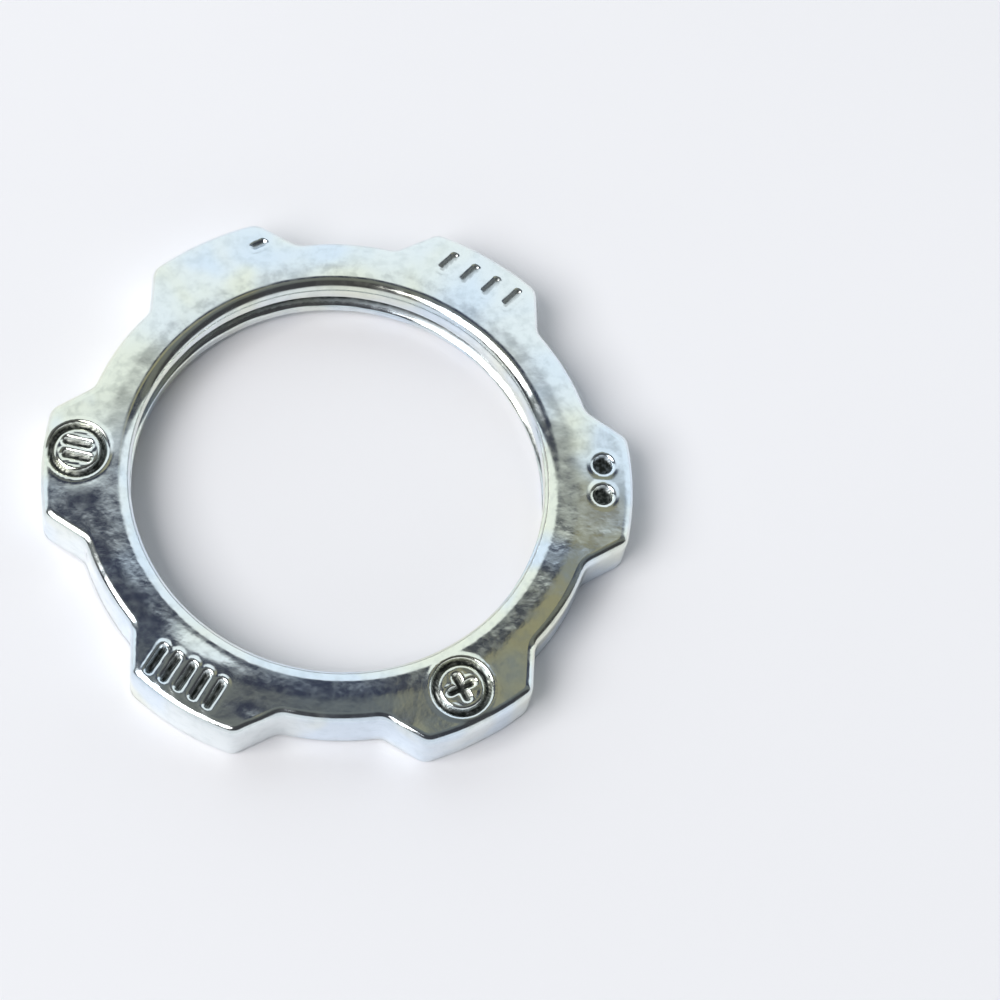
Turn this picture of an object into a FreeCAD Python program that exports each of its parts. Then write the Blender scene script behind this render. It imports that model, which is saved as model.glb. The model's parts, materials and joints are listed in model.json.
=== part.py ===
"""Conduit locknut, half-inch trade size, as one solid of plated steel.

A flat ring carries a straight 14 threads per inch bore. Six lugs stand out of it, and everything outside the
flat land slopes down, so that the lug tips touch a box wall first and bite as the nut is driven round.

Millimetres. +Z runs along the bore, from the biting side to the stamped side. The origin is on the bore's axis,
in the plane that the six lug tips rest on, and the first lug points along +X.
"""
import FreeCAD, Part
import math
import os

V = FreeCAD.Vector
UP = V(0, 0, 1)
ORIGIN = V(0, 0, 0)

# Thread: straight, right-handed, cut into a pierced hole a little larger than the basic minor diameter
THREADS_PER_INCH = 14
MINOR_RADIUS = 9.85
THREAD_DEPTH = 0.75
ROOT_FLAT = 0.3
FLANK_DEG = 30.0
GROOVE_OVERRUN = 0.12
THREAD_START = 0.55
THREAD_START_DEG = 0.0
LAND_SECTORS = 8

# Lead-ins: countersinks at the two mouths of the bore, 45 degrees
TOP_LEAD_IN = 0.7
BOTTOM_LEAD_IN = 0.35

# Plate: its thickness, the flat land round the bore, and the slope of all that lies outside the land
THICKNESS = 2.7
LAND_WIDTH = 1.55
SLOPE_DEG = 4.0

# Outline: the sloped ring outside the land, and the lugs that stand out of it
SLOPED_WIDTH = 1.1
LUG_REACH = 1.6
LUG_COUNT = 6
LUG_ROOT_WIDTH = 7.3
LUG_TIP_WIDTH = 5.3
ROOT_FILLET = 0.9
TIP_CORNER = 0.8

# Edges: rolled over on the stamped side, nearly sharp on the biting side
ROLLED_EDGE = 0.42
BITING_EDGE = 0.12

# Stamped marks on the lugs' faces: how far in from the tip circle, places across the lug, and depths
MARK_INSET = 1.5
STAMP_DEPTH = 0.18
STROKE_WIDTH = 0.3
ROUND_MARK_RADIUS = 1.4
BAR_LENGTH = 1.1
BARS_INSET = 1.65
BARS_ACROSS = -0.6
BAR_OFFSET = 0.35
CROSS_INSET = 2.0
CROSS_ACROSS = -0.1
DIMPLE_RADIUS = 0.48
DIMPLE_DEPTH = 0.28
DIMPLES_ACROSS = (-0.4, 1.2)
SLANTS_ACROSS = (-2.1, -0.9, 0.3, 1.5)
SLANT_LENGTH = 0.9
SLANT_DEG = -12
DASH_ACROSS = -2.3
DASH_LENGTH = 0.5
TALLIES_ACROSS = (-2.2, -1.4, -0.6, 0.2, 1.0)
TALLY_LENGTH = 1.2

# How far a cutter runs past the surface that it cuts
PAST = 1.0

# Tolerances for picking edges out of a shape, and the widest gap of a curved rim edge from its cone
SAME = 1e-6
NEAR = 1e-4
SAG = 0.05

HALF_TURN = 180
FULL_TURN = 360
LAND_RADIUS = MINOR_RADIUS + LAND_WIDTH
RING_RADIUS = LAND_RADIUS + SLOPED_WIDTH
TIP_RADIUS = RING_RADIUS + LUG_REACH
MARK_RADIUS = TIP_RADIUS - MARK_INSET
PITCH = 25.4 / THREADS_PER_INCH
LUG_STEP_DEG = FULL_TURN / LUG_COUNT
FALL = math.tan(math.radians(SLOPE_DEG)) * (TIP_RADIUS - LAND_RADIUS)
LAND_BOTTOM = FALL
LAND_TOP = FALL + THICKNESS


def top_height(radius):
    """Height of the stamped face at this radius."""
    outside = max(0.0, radius - LAND_RADIUS)
    return LAND_TOP - math.tan(math.radians(SLOPE_DEG)) * outside


def radius_of(point):
    return math.hypot(point.x, point.y)


def turned(shape, degrees):
    """A copy of the shape turned about the bore's axis."""
    copy = shape.copy()
    copy.rotate(ORIGIN, UP, degrees)
    return copy


def polygon_face(points):
    return Part.Face(Part.makePolygon(points + points[:1]))


def dished_plate():
    """The plate before its outline is cut: a flat land, and a rim that slopes down on both sides."""
    rim = TIP_RADIUS + PAST
    profile = [
        V(0, 0, LAND_BOTTOM),
        V(LAND_RADIUS, 0, LAND_BOTTOM),
        V(rim, 0, top_height(rim) - THICKNESS),
        V(rim, 0, top_height(rim)),
        V(LAND_RADIUS, 0, LAND_TOP),
        V(0, 0, LAND_TOP),
    ]
    plate = polygon_face(profile).revolve(ORIGIN, UP, FULL_TURN)
    return turned(plate, LUG_STEP_DEG / 2)


def lug_prism(height):
    """One tapered lug along +X, cut to the tip circle."""
    inner = RING_RADIUS - ROLLED_EDGE - PAST
    outer = TIP_RADIUS + PAST
    taper = (LUG_ROOT_WIDTH - LUG_TIP_WIDTH) / 2 / (TIP_RADIUS - RING_RADIUS)
    inner_half = LUG_ROOT_WIDTH / 2 + taper * (RING_RADIUS - inner)
    outer_half = LUG_TIP_WIDTH / 2 - taper * (outer - TIP_RADIUS)
    corners = [
        V(inner, -inner_half, 0),
        V(outer, -outer_half, 0),
        V(outer, outer_half, 0),
        V(inner, inner_half, 0),
    ]
    prism = polygon_face(corners).extrude(V(0, 0, height))
    tip_circle = turned(Part.makeCylinder(TIP_RADIUS, height), LUG_STEP_DEG / 2)
    return prism.common(tip_circle)


def upright_edges(shape, radius):
    """The shape's vertical edges that stand at this radius."""
    found = []
    for edge in shape.Edges:
        if len(edge.Vertexes) != 2:
            continue
        start, end = [vertex.Point for vertex in edge.Vertexes]
        upright = radius_of(start - end) < SAME
        if upright and abs(radius_of(start) - radius) < SAME:
            found.append(edge)
    return found


def outline_prism():
    """The nut's outline as a prism: ring, six lugs, filleted roots and rounded tip corners."""
    height = LAND_TOP + 2 * PAST
    prism = Part.makeCylinder(RING_RADIUS, height)
    lug = lug_prism(height)
    for index in range(LUG_COUNT):
        prism = prism.fuse(turned(lug, index * LUG_STEP_DEG))
    prism = prism.removeSplitter()
    prism = prism.makeFillet(ROOT_FILLET, upright_edges(prism, RING_RADIUS))
    prism = prism.makeFillet(TIP_CORNER, upright_edges(prism, TIP_RADIUS))
    prism.translate(V(0, 0, -PAST))
    return prism


def rim_edges(shape, drop):
    """The outline's edges on a face that lies this far below the stamped face."""
    found = []
    for edge in shape.Edges:
        ends = [vertex.Point for vertex in edge.Vertexes]
        on_face = all(abs(top_height(radius_of(p)) - drop - p.z) < NEAR for p in ends)
        on_rim = all(radius_of(p) > LAND_RADIUS + NEAR for p in ends)
        middle = edge.valueAt((edge.FirstParameter + edge.LastParameter) / 2)
        level = abs(top_height(radius_of(middle)) - drop - middle.z) < SAG
        if ends and on_face and on_rim and level:
            found.append(edge)
    return found


def blank():
    """The stamped blank: dished plate cut to the outline, edges rolled over on top and eased below."""
    body = dished_plate().common(outline_prism())
    body = body.makeFillet(ROLLED_EDGE, rim_edges(body, 0.0))
    return body.makeFillet(BITING_EDGE, rim_edges(body, THICKNESS))


def lead_in(size, height, direction):
    """A 45 degree countersink cutter whose mouth is the bore widened by size, at this height."""
    mouth = MINOR_RADIUS + size
    cone = Part.makeCone(mouth - size - PAST, mouth + PAST, size + 2 * PAST)
    cone.translate(V(0, 0, -size - PAST))
    if direction < 0:
        cone.rotate(ORIGIN, V(1, 0, 0), HALF_TURN)
    cone.translate(V(0, 0, height))
    return cone


def pierced_land():
    """The flat land as a ring of its own: the hole taken out in sectors, and a countersink at each mouth."""
    height = LAND_TOP + 2 * PAST
    sector_deg = FULL_TURN / LAND_SECTORS
    land = Part.makeCylinder(LAND_RADIUS, THICKNESS, V(0, 0, LAND_BOTTOM))
    for index in range(LAND_SECTORS):
        sector = Part.makeCylinder(MINOR_RADIUS, height, V(0, 0, -PAST), UP, sector_deg)
        land = land.cut(turned(sector, index * sector_deg))
    land = land.cut(lead_in(TOP_LEAD_IN, LAND_TOP, 1))
    return land.cut(lead_in(BOTTOM_LEAD_IN, LAND_BOTTOM, -1))


def groove_section():
    """The thread groove's section: a V with a flat root, open a little way inside the bore."""
    slope = math.tan(math.radians(FLANK_DEG))
    root_half = ROOT_FLAT / 2
    mouth_half = root_half + slope * (THREAD_DEPTH + GROOVE_OVERRUN)
    root = MINOR_RADIUS + THREAD_DEPTH
    mouth = MINOR_RADIUS - GROOVE_OVERRUN
    return Part.makePolygon([
        V(mouth, 0, -mouth_half),
        V(root, 0, -root_half),
        V(root, 0, root_half),
        V(mouth, 0, mouth_half),
        V(mouth, 0, -mouth_half),
    ])


def groove_runs():
    """The right-handed helical groove in half-turn runs, from below the plate to above it."""
    climb = PITCH / 2
    helix = Part.makeHelix(PITCH, climb, MINOR_RADIUS)
    run = Part.Wire(helix.Edges).makePipeShell([groove_section()], True, True)
    start = LAND_BOTTOM - THREAD_START * PITCH
    count = math.ceil((LAND_TOP + PITCH - start) / climb)
    runs = []
    for index in range(count):
        placed = turned(run, THREAD_START_DEG + index * HALF_TURN)
        placed.translate(V(0, 0, start + index * climb))
        runs.append(placed)
    return runs


def threaded_land():
    land = pierced_land()
    for run in groove_runs():
        land = land.cut(run)
    return land


def rim():
    """The blank outside the land: the sloped ring and its lugs."""
    hole = Part.makeCylinder(LAND_RADIUS, LAND_TOP + 2 * PAST, V(0, 0, -PAST))
    return blank().cut(hole)


def stroke(radius, across, length, turn_deg):
    """A straight round-ended stroke in the first lug's face, centred radius out and across to the side."""
    half = length / 2
    bar = Part.makeBox(length, STROKE_WIDTH, PAST, V(-half, -STROKE_WIDTH / 2, 0))
    for end in (-half, half):
        bar = bar.fuse(Part.makeCylinder(STROKE_WIDTH / 2, PAST, V(end, 0, 0)))
    bar = bar.removeSplitter()
    bar.rotate(ORIGIN, UP, turn_deg)
    bar.translate(V(radius, across, top_height(radius) - STAMP_DEPTH))
    return bar


def round_mark(radius, across):
    """A plain circular stroke in the first lug's face."""
    at = V(radius, across, top_height(radius) - STAMP_DEPTH)
    outside = Part.makeCylinder(ROUND_MARK_RADIUS, PAST, at)
    inside = Part.makeCylinder(ROUND_MARK_RADIUS - STROKE_WIDTH, PAST, at)
    return outside.cut(inside)


def dimple(radius, across):
    """A round punch mark in the first lug's face."""
    height = top_height(radius) + DIMPLE_RADIUS - DIMPLE_DEPTH
    return Part.makeSphere(DIMPLE_RADIUS, V(radius, across, height))


def ringed_bars():
    """Two slanted bars side by side in a round mark."""
    centre = TIP_RADIUS - BARS_INSET
    bars = [
        stroke(centre, BARS_ACROSS + offset, BAR_LENGTH, SLANT_DEG)
        for offset in (-BAR_OFFSET, BAR_OFFSET)
    ]
    return [round_mark(centre, BARS_ACROSS)] + bars


def ringed_cross():
    """Two bars that cross in a round mark."""
    centre = TIP_RADIUS - CROSS_INSET
    bars = [stroke(centre, CROSS_ACROSS, BAR_LENGTH, turn) for turn in (0, 90)]
    return [round_mark(centre, CROSS_ACROSS)] + bars


def lug_marks():
    """The cutters for each lug's face, drawn for the first lug: plain geometry that stands for no maker."""
    dimples = [dimple(MARK_RADIUS, across) for across in DIMPLES_ACROSS]
    slants = [stroke(MARK_RADIUS, across, SLANT_LENGTH, SLANT_DEG) for across in SLANTS_ACROSS]
    dash = [stroke(MARK_RADIUS, DASH_ACROSS, DASH_LENGTH, 90)]
    tallies = [stroke(MARK_RADIUS, across, TALLY_LENGTH, 0) for across in TALLIES_ACROSS]
    return [dimples, slants, dash, ringed_bars(), tallies, ringed_cross()]


def locknut():
    nut = rim().fuse(threaded_land())
    for index, cutters in enumerate(lug_marks()):
        for cutter in cutters:
            nut = nut.cut(turned(cutter, index * LUG_STEP_DEG))
    return nut


def main():
    os.makedirs("parts", exist_ok=True)
    nut = locknut()
    if len(nut.Solids) != 1 or not nut.isValid():
        raise ValueError("the locknut isn't one valid solid")
    print("locknut volume mm3", round(nut.Volume, 2))
    nut.Solids[0].exportStep("parts/locknut.step")


main()
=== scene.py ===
"""A plated steel conduit locknut on a pale table: its finished mesh, its zinc finish, and the studio."""

import json
import math

import bmesh
import bpy
from mathutils import Matrix, Vector, noise


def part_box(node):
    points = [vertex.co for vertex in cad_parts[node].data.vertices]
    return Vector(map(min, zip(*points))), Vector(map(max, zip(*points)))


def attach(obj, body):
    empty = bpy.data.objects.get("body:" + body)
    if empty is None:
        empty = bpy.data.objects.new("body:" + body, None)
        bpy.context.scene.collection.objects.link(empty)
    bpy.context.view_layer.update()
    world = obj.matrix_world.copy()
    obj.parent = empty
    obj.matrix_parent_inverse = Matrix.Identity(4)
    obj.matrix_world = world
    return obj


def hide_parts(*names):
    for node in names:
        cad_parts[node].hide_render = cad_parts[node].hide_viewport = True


bl_info = {
    "name": "Conduit Locknut",
    "version": (1, 0, 0),
    "blender": (4, 5, 0),
    "location": "View3D > Sidebar > Locknut",
    "description": "Models a zinc plated conduit locknut with its thread, lugs and stamped marks",
    "category": "Mesh",
}

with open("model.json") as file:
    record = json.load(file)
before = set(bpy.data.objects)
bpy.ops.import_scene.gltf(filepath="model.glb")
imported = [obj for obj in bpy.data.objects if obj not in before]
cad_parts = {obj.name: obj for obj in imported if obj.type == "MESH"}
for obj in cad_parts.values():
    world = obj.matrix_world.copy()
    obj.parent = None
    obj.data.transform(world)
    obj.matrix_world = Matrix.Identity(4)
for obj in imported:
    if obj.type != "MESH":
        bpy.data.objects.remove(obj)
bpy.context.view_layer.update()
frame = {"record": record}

MM = 0.001
UP = Vector((0, 0, 1))
NODE = "locknut"
LUGS = 6
MOUNTS = {mount["name"]: mount for mount in frame["record"]["mounts"]}
BORE = MOUNTS["thread"]["dims"]["r_mm"] * MM
LAND_BOTTOM = MOUNTS["land"]["pos_m"][2]
NUT_LOW, NUT_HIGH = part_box(NODE)
TIP = (NUT_HIGH.x - NUT_LOW.x) / 2
TOP = NUT_HIGH.z
LUG_TURN = 2 * math.pi / LUGS

# Steps along the outline and rows across the nut, fine enough for its marks and its thread.
GAP_STEPS = 11
FILLET_STEPS = 5
FLANK_STEPS = 12
CORNER_STEPS = 6
TIP_STEPS = 42
ROLL_SEGMENTS = 6
BITE_SEGMENTS = 3
FACE_ROWS = 44
UNDERSIDE_ROWS = 8
WALL_ROWS = 4
BORE_ROWS = 56
MOUTH_CROWDING = 1.6

THREAD_FLANK = math.radians(30)
UNDERSIDE_EASE = 1.2 * MM
DISH_EASE = 0.25 * MM

# Slack for telling which rim, level or wall a vertex lies on.
SLACK = 0.001 * MM


def length(name, text, default, low=0.0):
    """A length property in metres."""
    return bpy.props.FloatProperty(
        name=name, description=text, default=default, min=low, unit="LENGTH", precision=5
    )


def colour(name, text, default):
    return bpy.props.FloatVectorProperty(
        name=name, description=text, default=default, min=0.0, max=1.0, size=3, subtype="COLOR"
    )


class NutSizes(bpy.types.PropertyGroup):
    """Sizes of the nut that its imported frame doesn't say by itself."""

    ring_radius: length("Ring radius", "Outside of the ring between two lugs", 12.5 * MM)
    land_radius: length("Land radius", "Outside of the flat land round the bore", 11.4 * MM)
    slope: bpy.props.FloatProperty(
        name="Slope", description="Fall of the rim outside the land",
        default=math.radians(4), subtype="ANGLE",
    )
    root_width: length("Lug root width", "Width of a lug where it leaves the ring", 7.3 * MM)
    tip_width: length("Lug tip width", "Width of a lug at its tip, before its corners", 5.3 * MM)
    root_fillet: length("Root fillet", "Radius in the corner between ring and lug", 0.9 * MM)
    tip_corner: length("Tip corner", "Radius of a lug's two outer corners", 0.8 * MM)
    rolled_edge: length("Rolled edge", "Radius rolled over on the stamped side", 0.42 * MM)
    biting_edge: length("Biting edge", "Radius eased on the biting side", 0.12 * MM)
    top_lead_in: length("Top lead-in", "Rounded mouth of the bore on the stamped side", 0.7 * MM)
    bottom_lead_in: length("Bottom lead-in", "Countersink on the biting side", 0.35 * MM)
    pitch: length("Pitch", "Distance from one thread to the next", 25.4 / 14 * MM)
    thread_depth: length("Thread depth", "Depth of the thread groove", 0.75 * MM)
    root_flat: length("Root flat", "Width of the flat at the groove's bottom", 0.3 * MM)
    thread_start: bpy.props.FloatProperty(
        name="Thread start", description="Pitches below the land at which the groove crosses +X",
        default=0.55,
    )


class ZincFinish(bpy.types.PropertyGroup):
    """Colours of the bright zinc plate."""

    bright: colour("Bright", "Clean plate", (0.84, 0.89, 0.90))
    warm: colour("Warm", "Straw tint in the passivated film", (0.86, 0.88, 0.76))
    cool: colour("Cool", "Blue tint in the passivated film", (0.76, 0.85, 0.94))
    # Painted shade as well as dark film: this colour darkens the stamps and the thread's roots where shade
    # falls in them.
    soil_and_shade: colour("Soil", "Dark film left in stamps and thread roots", (0.02, 0.024, 0.022))
    roughness: bpy.props.FloatProperty(
        name="Roughness", description="Roughness of clean plate", default=0.13, min=0, max=1,
        subtype="FACTOR",
    )


class StudioSetup(bpy.types.PropertyGroup):
    """The table, the lights and the camera."""

    table: colour("Table", "Pale table top", (0.86, 0.86, 0.90))
    room: bpy.props.FloatProperty(
        name="Room", description="Strength of the room's own light", default=1.0, min=0.0
    )
    key: bpy.props.FloatProperty(
        name="Key", description="Power of the key light", default=19.0, min=0.0, unit="POWER"
    )
    lens: bpy.props.FloatProperty(
        name="Lens", description="Focal length", default=126.0, unit="CAMERA"
    )
    distance: length("Distance", "From the camera to the point it aims at", 169.5 * MM)
    azimuth: bpy.props.FloatProperty(
        name="Azimuth", description="Direction from the nut to the camera, from +X",
        default=math.radians(-101.8), subtype="ANGLE",
    )
    elevation: bpy.props.FloatProperty(
        name="Elevation", description="Height of the camera above the horizon",
        default=math.radians(65.5), subtype="ANGLE",
    )
    roll: bpy.props.FloatProperty(
        name="Roll", description="Turn of the camera about its own axis",
        default=math.radians(13.6), subtype="ANGLE",
    )


def polar(radius, angle, z=0.0):
    return Vector((radius * math.cos(angle), radius * math.sin(angle), z))


def radius_of(point):
    return math.hypot(point.x, point.y)


def smooth(low, high, value):
    """0 below low, 1 above high, and an S curve between."""
    t = min(max((value - low) / (high - low), 0.0), 1.0)
    return t * t * (3 - 2 * t)


class LugOutline:
    """Where a lug's outline changes from arc to line, worked out in the first lug's own frame."""

    def __init__(self, sizes):
        self.sizes = sizes
        fall = (sizes.root_width - sizes.tip_width) / 2
        self.taper = math.atan2(fall, TIP - sizes.ring_radius)
        self.out = Vector((math.sin(self.taper), math.cos(self.taper), 0))
        self.along = Vector((math.cos(self.taper), -math.sin(self.taper), 0))
        self.offset = self.out.dot(Vector((sizes.ring_radius, sizes.root_width / 2, 0)))
        self.root_centre = self.centre(sizes.ring_radius + sizes.root_fillet, sizes.root_fillet)
        self.tip_centre = self.centre(TIP - sizes.tip_corner, -sizes.tip_corner)

    def centre(self, radius, beyond):
        """The point at this radius that stands this far beyond the flank."""
        away = self.offset + beyond
        return self.out * away + self.along * math.sqrt(radius ** 2 - away ** 2)

    def root_angle(self):
        return math.atan2(self.root_centre.y, self.root_centre.x)

    def tip_angle(self):
        return math.atan2(self.tip_centre.y, self.tip_centre.x)

    def flank_length(self):
        return (self.tip_centre - self.root_centre).dot(self.along)

    def root_turn(self):
        """Turn of the root fillet, from the ring's arc to the flank."""
        return math.pi / 2 - self.taper - self.root_angle()

    def tip_turn(self):
        """Turn of the tip corner, from the flank to the tip's arc."""
        return math.pi / 2 - self.taper - self.tip_angle()


def swing(bm, vert, centre, angle, steps):
    """Draws an arc from a vertex about a centre, and returns its last vertex."""
    swept = bmesh.ops.spin(
        bm, geom=[vert], cent=centre, axis=UP, angle=angle, steps=steps, use_duplicate=False
    )
    return next(item for item in swept["geom_last"] if isinstance(item, bmesh.types.BMVert))


def straight(bm, vert, step, count):
    """Draws a line from a vertex in equal steps, and returns its last vertex."""
    for _ in range(count):
        drawn = bmesh.ops.extrude_vert_indiv(bm, verts=[vert])
        vert = drawn["verts"][0]
        bmesh.ops.translate(bm, verts=[vert], vec=step)
    return vert


def draw_outline(bm, sizes):
    """The whole outline as one closed chain of edges at the height of the stamped face."""
    lug = LugOutline(sizes)
    half_gap = LUG_TURN / 2
    ring_arc = half_gap - lug.root_angle()
    mirrored = Vector((1, -1, 1))
    flank = lug.flank_length() / FLANK_STEPS
    vert = bm.verts.new(polar(sizes.ring_radius, -half_gap, TOP))
    vert = swing(bm, vert, (0, 0, 0), ring_arc, GAP_STEPS)
    vert = swing(bm, vert, lug.root_centre * mirrored, -lug.root_turn(), FILLET_STEPS)
    vert = straight(bm, vert, lug.along * mirrored * flank, FLANK_STEPS)
    vert = swing(bm, vert, lug.tip_centre * mirrored, lug.tip_turn(), CORNER_STEPS)
    vert = swing(bm, vert, (0, 0, 0), 2 * lug.tip_angle(), TIP_STEPS)
    vert = swing(bm, vert, lug.tip_centre, lug.tip_turn(), CORNER_STEPS)
    vert = straight(bm, vert, -lug.along * flank, FLANK_STEPS)
    vert = swing(bm, vert, lug.root_centre, -lug.root_turn(), FILLET_STEPS)
    swing(bm, vert, (0, 0, 0), ring_arc, GAP_STEPS)
    bmesh.ops.spin(
        bm, geom=bm.verts[:] + bm.edges[:], cent=(0, 0, 0), axis=UP,
        angle=LUG_TURN * (LUGS - 1), steps=LUGS - 1, use_duplicate=True,
    )
    bmesh.ops.remove_doubles(bm, verts=bm.verts, dist=SLACK)


def drawn_out(bm, edges, place):
    """Extrudes a loop of edges and puts each new vertex where place says. Returns the new edges."""
    made = bmesh.ops.extrude_edge_only(bm, edges=edges)["geom"]
    for vert in made:
        if isinstance(vert, bmesh.types.BMVert):
            vert.co = place(vert.co)
    return [item for item in made if isinstance(item, bmesh.types.BMEdge) and item.is_boundary]


def rounded(bm, edges, radius, segments):
    """Rounds a loop of edges."""
    bmesh.ops.bevel(
        bm, geom=edges, offset=radius, offset_type="OFFSET", segments=segments, profile=0.5,
        affect="EDGES", clamp_overlap=False, material=-1,
    )


def rails(bm, test):
    """The edges whose two ends pass the test."""
    return [edge for edge in bm.edges if test(*[vert.co for vert in edge.verts])]


def cut_rows(bm, edges, rows):
    """Divides the faces between these edges into even rows."""
    bmesh.ops.subdivide_edges(bm, edges=edges, cuts=rows - 1, use_grid_fill=True)


def nut_shell(bm, sizes):
    """The nut's closed shell with plain bore: face, rolled rim, wall, underside and bore, in even rows."""
    bottom = LAND_BOTTOM
    mouth = BORE + sizes.top_lead_in
    draw_outline(bm, sizes)
    rim = bm.edges[:]
    top_loop = drawn_out(bm, rim, lambda co: polar(mouth, math.atan2(co.y, co.x), TOP))
    foot = drawn_out(bm, rim, lambda co: Vector((co.x, co.y, bottom)))
    under_loop = drawn_out(bm, foot, lambda co: polar(BORE, math.atan2(co.y, co.x), bottom))
    rounded(bm, rim, sizes.rolled_edge, ROLL_SEGMENTS)
    rounded(bm, foot, sizes.biting_edge, BITE_SEGMENTS)
    bmesh.ops.bridge_loops(bm, edges=top_loop + under_loop)
    shortest = 0.6 * MM

    def across(level):
        return lambda a, b: (
            max(abs(a.z - level), abs(b.z - level)) < SLACK
            and abs(radius_of(a) - radius_of(b)) > shortest
        )

    def upright(inside):
        return lambda a, b: (
            abs(a.z - b.z) > shortest
            and (max(radius_of(a), radius_of(b)) < mouth + SLACK) == inside
        )

    cut_rows(bm, rails(bm, across(TOP)), FACE_ROWS)
    cut_rows(bm, rails(bm, across(bottom)), UNDERSIDE_ROWS)
    cut_rows(bm, rails(bm, upright(False)), WALL_ROWS)
    cut_rows(bm, rails(bm, upright(True)), BORE_ROWS)


def groove_depth(sizes, angle, z):
    """Depth of the helical thread groove at this place on the bore's wall."""
    start = LAND_BOTTOM - sizes.thread_start * sizes.pitch
    turns = (z - start) / sizes.pitch - angle / (2 * math.pi)
    off = abs(turns - round(turns)) * sizes.pitch
    flank = math.tan(THREAD_FLANK)
    mouth = sizes.root_flat / 2 + sizes.thread_depth * flank
    return sizes.thread_depth * smooth(0.0, 1.0, (mouth - off) / (mouth - sizes.root_flat / 2))


def bore_radius(sizes, angle, z):
    """Radius of the bore's wall: the thread, the rounded mouth and the lead-in below."""
    mouth = sizes.top_lead_in
    depth = TOP - z
    over = 1 - min(depth / mouth, 1.0)
    rounded_mouth = mouth * (1 - math.sqrt(1 - over ** 2))
    bottom_cone = sizes.bottom_lead_in - (z - LAND_BOTTOM)
    groove = min(groove_depth(sizes, angle, z), mouth)
    return BORE + max(groove * smooth(0.3, 0.9, depth / mouth), rounded_mouth, bottom_cone)


def cut_thread(bm, sizes):
    """Shapes the bore's wall, and moves the underside's inner rows out with it.

    The wall's rows are drawn together towards the rounded mouth.
    """
    mouth = BORE + sizes.top_lead_in + SLACK
    height = TOP - LAND_BOTTOM
    for vert in bm.verts:
        radius = radius_of(vert.co)
        angle = math.atan2(vert.co.y, vert.co.x)
        if vert.co.z < LAND_BOTTOM + SLACK and radius > BORE + SLACK:
            cut = bore_radius(sizes, angle, LAND_BOTTOM) - BORE
            share = max(1 - (radius - BORE) / UNDERSIDE_EASE, 0.0)
            vert.co = polar(radius + cut * share, angle, LAND_BOTTOM)
        elif radius < mouth:
            share = max(TOP - vert.co.z, 0.0) / height
            z = TOP - height * share ** MOUTH_CROWDING
            vert.co = polar(bore_radius(sizes, angle, z), angle, z)


def dish(bm, sizes):
    """Lets everything outside the land fall away, on both sides alike."""
    for vert in bm.verts:
        out = radius_of(vert.co) - sizes.land_radius
        eased = (out + DISH_EASE) ** 2 / (4 * DISH_EASE)
        fall = max(out, 0.0) if abs(out) > DISH_EASE else eased
        vert.co.z -= math.tan(sizes.slope) * fall


# The marks: where they lie, how deep, and how wide. Across a lug, they are placed in millimetres.
MARK_RADIUS = 12.6 * MM
STAMP_DEPTH = 0.24 * MM
LIP_HEIGHT = 0.03 * MM
STROKE_WIDTH = 0.32 * MM
RING_RADIUS = 1.25 * MM
DIMPLE_RADIUS = 0.48 * MM
SLANT = math.radians(-12)
RADIAL = 0.0
TANGENT = math.pi / 2


class Stroke:
    """A straight stroke in a lug's face, at an angle from the lug's radius."""

    def __init__(self, across, reach, angle, radius=MARK_RADIUS):
        self.centre = Vector((radius, across * MM))
        self.half = reach * MM / 2
        self.direction = Vector((math.cos(angle), math.sin(angle)))
        self.width = STROKE_WIDTH

    def distance(self, point):
        off = point - self.centre
        along = min(max(off.dot(self.direction), -self.half), self.half)
        return (off - self.direction * along).length


class Ring:
    """A circular stroke."""

    def __init__(self, centre):
        self.centre = centre
        self.width = STROKE_WIDTH

    def distance(self, point):
        return abs((point - self.centre).length - RING_RADIUS)


class Dimple:
    """A round punch mark."""

    def __init__(self, across):
        self.centre = Vector((MARK_RADIUS, across * MM))
        self.width = 2 * DIMPLE_RADIUS

    def distance(self, point):
        return (point - self.centre).length


def ringed(radius, across, bars):
    """A ring with short bars in it, each told by its offset and its angle."""
    strokes = [Stroke(across + offset, 1.1, angle, radius) for offset, angle in bars]
    return (Ring(Vector((radius, across * MM))), *strokes)


LUG_MARKS = (
    (Dimple(-0.4), Dimple(1.2)),
    tuple(Stroke(across, 0.9, SLANT) for across in (-2.1, -0.9, 0.3, 1.5)),
    (Stroke(-2.3, 0.5, TANGENT),),
    ringed(12.45 * MM, -0.6, ((-0.35, SLANT), (0.35, SLANT))),
    tuple(Stroke(across, 1.2, RADIAL) for across in (-2.2, -1.4, -0.6, 0.2, 1.0)),
    ringed(12.1 * MM, -0.1, ((0.0, RADIAL), (0.0, TANGENT))),
)

# How hard each lug's mark was struck.
STRIKES = (1.0, 0.4, 0.45, 1.0, 1.0, 1.0)

# Mounds beside the marks, in millimetres: the lug, the place out and across, the rise and the spread.
SWELLS = (
    (4, Vector((11.75, -0.6)), 0.075, Vector((0.75, 1.9))),
    (4, Vector((12.9, 3.3)), 0.07, Vector((0.6, 1.0))),
    (5, Vector((12.9, -3.6)), 0.05, Vector((0.6, 0.9))),
    (3, Vector((11.9, 1.4)), 0.03, Vector((0.7, 0.7))),
)


def swell_at(index, local):
    """Height of the metal that stamping drove up beside the marks, in soft mounds."""
    height = 0.0
    for lug, centre, rise, spread in SWELLS:
        if lug == index:
            off = local / MM - centre
            height += rise * MM * math.exp(-(off.x / spread.x) ** 2 - (off.y / spread.y) ** 2)
    return height


def stamp_at(index, local):
    """How deep a stamp lies here, and how high the lip that it pushed up, both from 0 to 1."""
    depth, lip = 0.0, 0.0
    for mark in LUG_MARKS[index]:
        off = mark.distance(local) - mark.width / 2
        soft = min(mark.width * 0.4, 0.15 * MM)
        depth = max(depth, 1 - smooth(-soft, 0.08 * MM, off))
        lip = max(lip, 1 - smooth(0.0, 0.18 * MM, abs(off - 0.13 * MM)))
    return depth, lip


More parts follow.
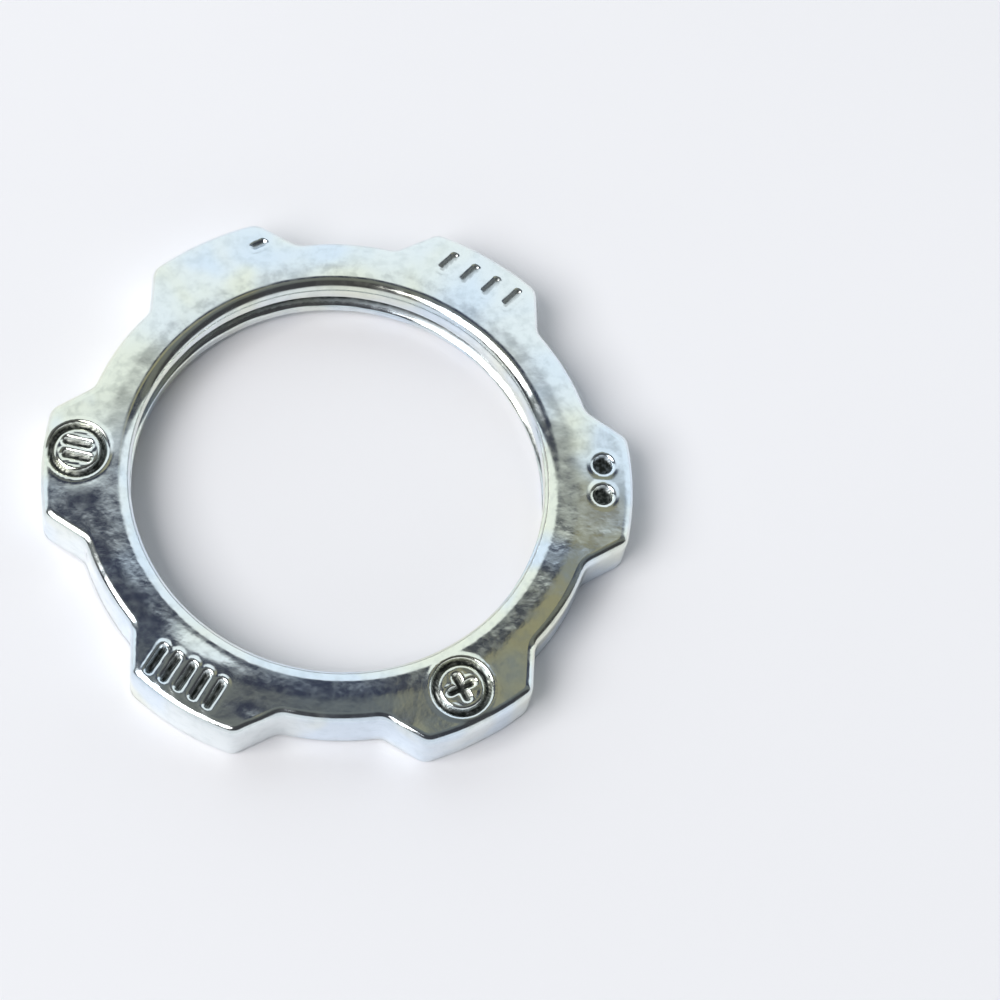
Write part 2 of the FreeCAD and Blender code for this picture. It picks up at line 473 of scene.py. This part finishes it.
def groove_soil_and_shade(sizes, point):
    """How dark the thread's groove is painted here, 0 on a crest and 1 at the root: dark film and painted
    shade in the recess.
    """
    cut = groove_depth(sizes, math.atan2(point.y, point.x), point.z)
    below_mouth = smooth(0.3, 0.9, (TOP - point.z) / sizes.top_lead_in)
    return smooth(0.15, 0.6, cut / sizes.thread_depth) * below_mouth


def stamp_marks(bm, sizes):
    """Sinks each lug's marks as hard as they were struck, and notes where dark film and painted shade lie
    in the stamps and the thread's groove.
    """
    deep = bm.verts.layers.float.new("deep")
    inner = BORE + sizes.top_lead_in
    for vert in bm.verts:
        radius = radius_of(vert.co)
        if vert.co.z > TOP - 0.3 * MM and radius > inner:
            angle = math.atan2(vert.co.y, vert.co.x)
            index = round(angle / LUG_TURN) % LUGS
            local = Matrix.Rotation(-index * LUG_TURN, 2) @ vert.co.xy
            depth, lip = stamp_at(index, local)
            swell = swell_at(index, local) * smooth(0.0, 0.5 * MM, radius - inner)
            rise = lip * LIP_HEIGHT * (1 - depth) + swell
            vert.co.z += (rise - depth * STAMP_DEPTH) * STRIKES[index]
            # Painted shade with dark film in the stamps' bottoms.
            vert[deep] = smooth(0.35, 0.8, depth) * STRIKES[index]
        elif radius < inner - 0.02 * MM:
            # Painted shade with dark film in the thread's groove.
            vert[deep] = groove_soil_and_shade(sizes, vert.co)


HAMMER_SEED = 11


def hammer(bm):
    """Slight unevenness of a stamped, tumbled blank, the same on every run."""
    noise.seed_set(HAMMER_SEED)
    for vert in bm.verts:
        at = vert.co / (2.2 * MM)
        vert.co += noise.noise_vector(at) * 0.014 * MM
        vert.co += noise.noise_vector(at * 3.1) * 0.003 * MM


def finished(bm, name):
    """A smooth shaded mesh object at the origin, from a bmesh."""
    bmesh.ops.recalc_face_normals(bm, faces=bm.faces)
    for face in bm.faces:
        face.smooth = True
    mesh = bpy.data.meshes.new(name)
    bm.to_mesh(mesh)
    bm.free()
    piece = bpy.data.objects.new(name, mesh)
    bpy.context.scene.collection.objects.link(piece)
    return piece


class Nodes:
    """Shorthand for laying out a node tree."""

    def __init__(self, tree):
        self.tree = tree
        self.tree.nodes.clear()

    def add(self, kind, inputs=None, **settings):
        node = self.tree.nodes.new("ShaderNode" + kind)
        for key, value in settings.items():
            setattr(node, key, value)
        for key, value in (inputs or {}).items():
            if isinstance(value, bpy.types.NodeSocket):
                self.tree.links.new(value, node.inputs[key])
            else:
                node.inputs[key].default_value = value
        return node

    def noise(self, vector, scale, detail=4.0, roughness=0.55, distortion=0.0):
        return self.add("TexNoise", {
            "Vector": vector, "Scale": scale, "Detail": detail, "Roughness": roughness,
            "Distortion": distortion,
        }).outputs["Fac"]

    def shifted(self, vector):
        """The same coordinates moved aside, for a second pattern that doesn't line up with the first."""
        return self.add("Mapping", {"Vector": vector, "Location": (0.3, 0.1, 0.2)}).outputs["Vector"]

    def remap(self, value, low, high, to_low=0.0, to_high=1.0):
        return self.add("MapRange", {
            "Value": value, "From Min": low, "From Max": high, "To Min": to_low, "To Max": to_high,
        }, interpolation_type="SMOOTHSTEP").outputs["Result"]

    def math(self, operation, first, second):
        return self.add("Math", {0: first, 1: second}, operation=operation).outputs[0]

    def mix(self, factor, first, second, blend="MIX"):
        node = self.add("Mix", {0: factor}, data_type="RGBA", blend_type=blend)
        for key, value in ((6, first), (7, second)):
            if isinstance(value, bpy.types.NodeSocket):
                self.tree.links.new(value, node.inputs[key])
            else:
                node.inputs[key].default_value = (*value, 1.0)
        return node.outputs[2]

    def bump(self, height, strength, distance, normal=None):
        inputs = {"Height": height, "Strength": strength, "Distance": distance}
        if normal is not None:
            inputs["Normal"] = normal
        return self.add("Bump", inputs).outputs["Normal"]


def zinc_plate(finish):
    """Bright zinc: faintly tinted plate, its wear, and dark film with painted shade in its recesses."""
    material = bpy.data.materials.new("zinc_plate")
    material.use_nodes = True
    n = Nodes(material.node_tree)
    place = n.add("TexCoord").outputs["Object"]
    deep = n.add("Attribute", attribute_name="deep").outputs["Fac"]

    tint = n.noise(place, 150.0, 2.0, 0.5, 0.5)
    tint_two = n.noise(n.shifted(place), 210.0, 2.0, 0.5, 0.3)
    tinted = n.mix(n.remap(tint, 0.46, 0.66), finish.bright, finish.warm)
    tinted = n.mix(n.remap(tint_two, 0.48, 0.66), tinted, finish.cool)
    mottle = n.noise(place, 1700.0, 3.0, 0.6)
    speck = n.noise(place, 4200.0, 2.0, 0.6)
    shaded = n.mix(n.remap(mottle, 0.42, 0.68, 0.0, 0.3), tinted, (0.74, 0.77, 0.78), "MULTIPLY")
    # Painted shade: the stamps and the thread's roots are drawn towards the dark film colour, standing in
    # for the shade in these recesses as well as for film.
    soil_and_shade = n.math("MULTIPLY", deep, n.remap(speck, 0.25, 0.6, 0.85, 1.0))
    coloured = n.mix(soil_and_shade, shaded, finish.soil_and_shade)

    clean_rough = n.remap(mottle, 0.35, 0.7, finish.roughness * 0.8, finish.roughness * 1.5)
    rough = n.math("ADD", clean_rough, n.math("MULTIPLY", deep, 0.35))

    side = n.add("SeparateXYZ", {"Vector": place}).outputs["Y"]
    worn = n.remap(side, 1 * MM, -4 * MM, 0.25, 1.0)
    peel = n.noise(place, 2600.0, 2.0, 0.6)
    ding = n.noise(place, 1300.0, 2.0, 0.5)
    normal = n.bump(peel, worn, 0.004 * MM)
    normal = n.bump(ding, n.math("MULTIPLY", worn, 0.5), 0.01 * MM, normal)

    shader = n.add("BsdfPrincipled", {
        "Base Color": coloured, "Roughness": rough, "Metallic": 1.0, "Normal": normal,
    })
    n.add("OutputMaterial", {"Surface": shader.outputs["BSDF"]})
    return material


def table_top(studio):
    """Pale matt table, with a whisper of unevenness."""
    material = bpy.data.materials.new("table_top")
    material.use_nodes = True
    n = Nodes(material.node_tree)
    place = n.add("TexCoord").outputs["Object"]
    cloud = n.noise(place, 14.0, 2.0)
    base = tuple(studio.table)
    tone = n.mix(n.remap(cloud, 0.3, 0.7), base, tuple(c * 0.975 for c in base))
    shader = n.add("BsdfPrincipled", {
        "Base Color": tone, "Roughness": 0.38, "Specular IOR Level": 0.35,
    })
    n.add("OutputMaterial", {"Surface": shader.outputs["BSDF"]})
    return material


class LOCKNUT_OT_nut(bpy.types.Operator):
    """Model the locknut with its thread, lugs and marks, and plate it"""

    bl_idname = "locknut.nut"
    bl_label = "Locknut"

    def execute(self, context):
        sizes = context.scene.locknut_sizes
        bm = bmesh.new()
        nut_shell(bm, sizes)
        cut_thread(bm, sizes)
        stamp_marks(bm, sizes)
        dish(bm, sizes)
        hammer(bm)
        nut = finished(bm, "plated_locknut")
        nut.data.materials.append(zinc_plate(context.scene.locknut_finish))
        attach(nut, "root")
        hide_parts(NODE)
        return {"FINISHED"}


def soft_light(name, azimuth, elevation, distance, size, power, tint):
    """A square area light that faces the nut."""
    data = bpy.data.lights.new(name, "AREA")
    data.size = size
    data.energy = power
    data.color = tint
    lamp = bpy.data.objects.new(name, data)
    direction = polar(math.cos(elevation), azimuth, math.sin(elevation))
    lamp.location = direction * distance
    lamp.rotation_mode = "QUATERNION"
    lamp.rotation_quaternion = direction.to_track_quat("Z", "Y")
    bpy.context.scene.collection.objects.link(lamp)


# The room's tones, told by their share of the turn from the far wall over the ceiling to the near wall.
ROOM_BANDS = (
    (0.0, (0.92, 0.98, 1.0)),
    (0.354, (0.90, 0.97, 1.0)),
    (0.368, (0.035, 0.04, 0.065)),
    (0.410, (0.035, 0.04, 0.065)),
    (0.440, (0.17, 0.18, 0.17)),
    (0.520, (0.15, 0.16, 0.15)),
    (0.570, (0.05, 0.05, 0.055)),
    (0.780, (0.05, 0.05, 0.055)),
    (0.830, (0.75, 0.78, 0.80)),
    (1.0, (0.80, 0.83, 0.85)),
)
SHADE_DIRECTION = Vector((0.25, 0.25, 0.935))
SHADE_REACH = (0.985, 0.995)
SHADE_TONE = (0.30, 0.29, 0.20)


def room(studio):
    """The room's own light: bands from the far wall over the ceiling, and one olive shade."""
    world = bpy.data.worlds.new("studio_room")
    world.use_nodes = True
    bpy.context.scene.world = world
    n = Nodes(world.node_tree)
    direction = n.add("TexCoord").outputs["Generated"]
    split = n.add("SeparateXYZ", {"Vector": direction})
    turn = n.math("ARCTAN2", split.outputs["Z"], split.outputs["Y"])
    bands = n.add("ValToRGB", {"Fac": n.math("DIVIDE", turn, math.pi)})
    for position, tone in ROOM_BANDS[1:-1]:
        bands.color_ramp.elements.new(position).color = (*tone, 1.0)
    for element, (position, tone) in zip(bands.color_ramp.elements, ROOM_BANDS):
        element.position = position
        element.color = (*tone, 1.0)
    towards = n.add(
        "VectorMath", {0: direction, 1: SHADE_DIRECTION.normalized()}, operation="DOT_PRODUCT"
    ).outputs["Value"]
    tone = n.mix(n.remap(towards, *SHADE_REACH), bands.outputs["Color"], SHADE_TONE)
    light = n.add("Background", {"Color": tone, "Strength": studio.room})
    n.add("OutputWorld", {"Surface": light.outputs["Background"]})


def floor(studio):
    """The table that the nut lies on."""
    bm = bmesh.new()
    bmesh.ops.create_grid(bm, x_segments=8, y_segments=8, size=1.5)
    table = finished(bm, "table")
    table.data.materials.append(table_top(studio))


AIM = Vector((7.91, 0.29, 0.07)) * MM
KEY_TINT = (1.0, 0.985, 0.965)


def aim_camera(studio):
    """The camera, rolled about its own axis, aimed at the table a little to one side of the nut."""
    data = bpy.data.cameras.new("camera")
    data.lens = studio.lens
    data.sensor_width = 36.0
    data.clip_start = 0.001
    camera = bpy.data.objects.new("camera", data)
    back = polar(math.cos(studio.elevation), studio.azimuth, math.sin(studio.elevation))
    level_right = UP.cross(back).normalized()
    level_up = back.cross(level_right)
    turn = Matrix.Rotation(studio.roll, 3, back)
    axes = Matrix((turn @ level_right, turn @ level_up, back)).transposed()
    camera.matrix_world = Matrix.Translation(AIM + back * studio.distance) @ axes.to_4x4()
    bpy.context.scene.collection.objects.link(camera)
    bpy.context.scene.camera = camera


class LOCKNUT_OT_studio(bpy.types.Operator):
    """Lay the table, light it softly and set the camera"""

    bl_idname = "locknut.studio"
    bl_label = "Studio"

    def execute(self, context):
        studio = context.scene.locknut_studio
        floor(studio)
        room(studio)
        soft_light("key", math.radians(208), math.radians(50), 1.4, 0.95, studio.key, KEY_TINT)
        aim_camera(studio)
        context.scene.view_settings.view_transform = "Standard"
        return {"FINISHED"}


class LOCKNUT_PT_panel(bpy.types.Panel):
    """The locknut's sizes, finish and studio"""

    bl_idname = "LOCKNUT_PT_panel"
    bl_label = "Locknut"
    bl_space_type = "VIEW_3D"
    bl_region_type = "UI"
    bl_category = "Locknut"

    def draw(self, context):
        scene = context.scene
        for group in (scene.locknut_sizes, scene.locknut_finish, scene.locknut_studio):
            box = self.layout.box()
            for name in group.__annotations__:
                box.prop(group, name)
        for operator in (LOCKNUT_OT_nut, LOCKNUT_OT_studio):
            self.layout.operator(operator.bl_idname)


GROUPS = {
    "locknut_sizes": NutSizes,
    "locknut_finish": ZincFinish,
    "locknut_studio": StudioSetup,
}
CLASSES = (*GROUPS.values(), LOCKNUT_OT_nut, LOCKNUT_OT_studio, LOCKNUT_PT_panel)


def register():
    for item in CLASSES:
        bpy.utils.register_class(item)
    for name, group in GROUPS.items():
        setattr(bpy.types.Scene, name, bpy.props.PointerProperty(type=group))


def unregister():
    for name in GROUPS:
        delattr(bpy.types.Scene, name)
    for item in reversed(CLASSES):
        bpy.utils.unregister_class(item)


def main():
    register()
    bpy.ops.locknut.studio()
    bpy.ops.locknut.nut()


if __name__ == "__main__":
    main()
